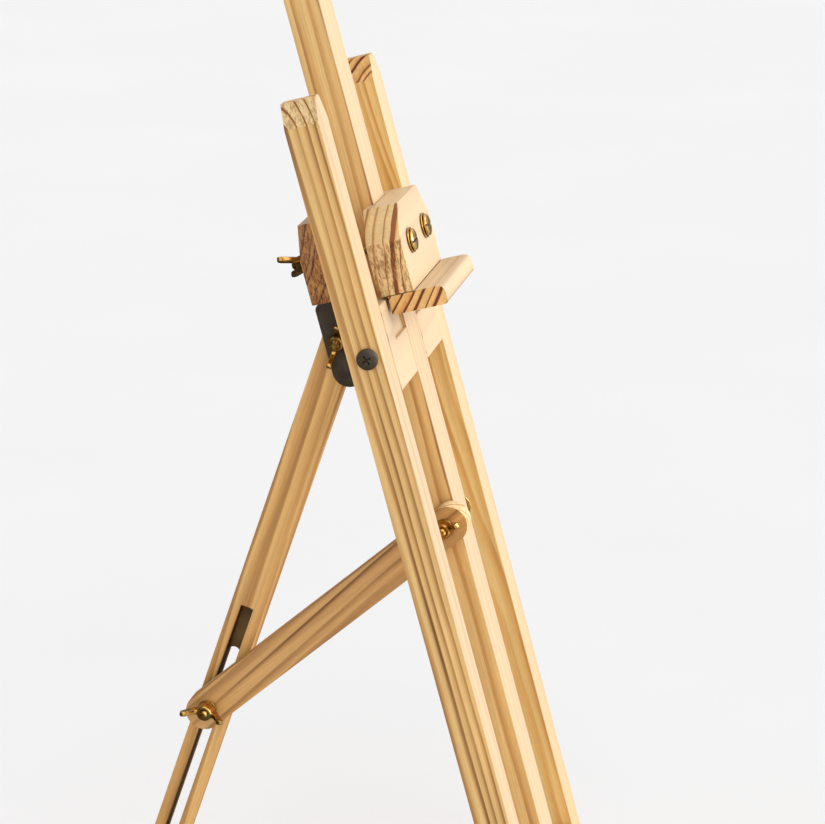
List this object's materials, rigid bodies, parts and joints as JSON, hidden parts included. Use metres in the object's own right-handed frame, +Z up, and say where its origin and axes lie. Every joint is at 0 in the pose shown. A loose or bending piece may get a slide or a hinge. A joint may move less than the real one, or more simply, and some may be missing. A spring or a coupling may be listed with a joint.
{
  "type": "display easel",
  "caption": "Folding wooden display easel: leaning frame with a central mast, sliding clamped ledge, hinged rear leg and slotted strut with brass wing nuts.",
  "frame": {"origin": "on the floor, midway between the front feet's toes and the rear foot's heel, on the easel's centre plane", "axes": "+Z up, +X to the right seen from the front, -Y towards the viewer in front of the easel"},
  "size_m": [0.1596, 0.2854, 0.7148],
  "materials": {
    "pine": "clear satin pine with straight grain",
    "pale_pine": "clear satin pine, pale",
    "brown_pine": "clear satin pine, browner",
    "brass": "bright brass plate",
    "black_steel": "matte black"
  },
  "bodies": {
    "frame": {"left_leg": "pine", "right_leg": "pine", "mast": "pine", "upper_cross_block_left": "pale_pine", "upper_cross_block_right": "pale_pine", "lower_cross_block_left": "pale_pine", "lower_cross_block_right": "pale_pine", "upper_dowel_left": "pale_pine", "upper_dowel_right": "pale_pine", "lower_dowel_left": "pale_pine", "lower_dowel_right": "pale_pine", "upper_frame_screw_left": "black_steel", "upper_frame_screw_right": "black_steel", "lower_frame_screw_left": "black_steel", "lower_frame_screw_right": "black_steel", "hinge_bracket": "black_steel", "bracket_screw_lower": "black_steel", "bracket_screw_upper": "black_steel", "pivot_bolt": "brass", "pivot_washer": "brass", "strut_bolt": "brass", "strut_head_washer": "brass", "strut_spacer_washer": "brass", "strut_nut_washer": "brass"},
    "carriage": {"clamp_block_front": "pale_pine", "clamp_block_rear": "brown_pine", "ledge": "pale_pine", "ledge_screw_left": "brass", "ledge_screw_right": "brass", "clamp_bolt_left": "brass", "clamp_bolt_right": "brass", "clamp_front_washer_left": "brass", "clamp_front_washer_right": "brass", "clamp_rear_washer_left": "brass", "clamp_rear_washer_right": "brass"},
    "rear_leg": {"rear_leg": "brown_pine"},
    "strut": {"strut": "pine", "slot_bolt": "brass", "slot_head_washer": "brass", "slot_spacer_washer": "brass", "slot_nut_washer": "brass"},
    "pivot_nut": {"pivot_wing_nut": "brass"},
    "strut_nut": {"strut_wing_nut": "brass"},
    "slot_nut": {"slot_wing_nut": "brass"},
    "clamp_nut_left": {"clamp_wing_nut_left": "brass"},
    "clamp_nut_right": {"clamp_wing_nut_right": "brass"}
  },
  "joints": [
    {"name": "carriage_slide", "type": "slide", "parent": "frame", "child": "carriage", "axis": [0, 0.2588, 0.9659], "range_m": [0, 0.23]},
    {"name": "rear_leg_fold", "type": "hinge", "parent": "frame", "child": "rear_leg", "pos_m": [0, 0.00144, 0.37962], "axis": [-1, 0, 0], "range_deg": [-4, 34]},
    {"name": "strut_fold", "type": "hinge", "parent": "frame", "child": "strut", "pos_m": [0, -0.06275, 0.27725], "axis": [-1, 0, 0], "range_deg": [-6.3, 53.1]},
    {"name": "pivot_nut_turn", "type": "hinge", "parent": "frame", "child": "pivot_nut", "pos_m": [-0.014, 0.00144, 0.37962], "axis": [-1, 0, 0], "continuous": true},
    {"name": "strut_nut_turn", "type": "hinge", "parent": "frame", "child": "strut_nut", "pos_m": [-0.0287, -0.06275, 0.27725], "axis": [-1, 0, 0], "continuous": true},
    {"name": "slot_nut_turn", "type": "hinge", "parent": "strut", "child": "slot_nut", "pos_m": [-0.0287, 0.07862, 0.15607], "axis": [-1, 0, 0], "continuous": true},
    {"name": "clamp_nut_left_turn", "type": "hinge", "parent": "carriage", "child": "clamp_nut_left", "pos_m": [-0.0185, 0.01501, 0.4264], "axis": [0, 0.9659, -0.2588], "continuous": true},
    {"name": "clamp_nut_right_turn", "type": "hinge", "parent": "carriage", "child": "clamp_nut_right", "pos_m": [0.0185, 0.01501, 0.4264], "axis": [0, 0.9659, -0.2588], "continuous": true}
  ],
  "couplings": [
    {"joint": "strut_fold", "follows": "rear_leg_fold", "ratio": 1.56}
  ]
}
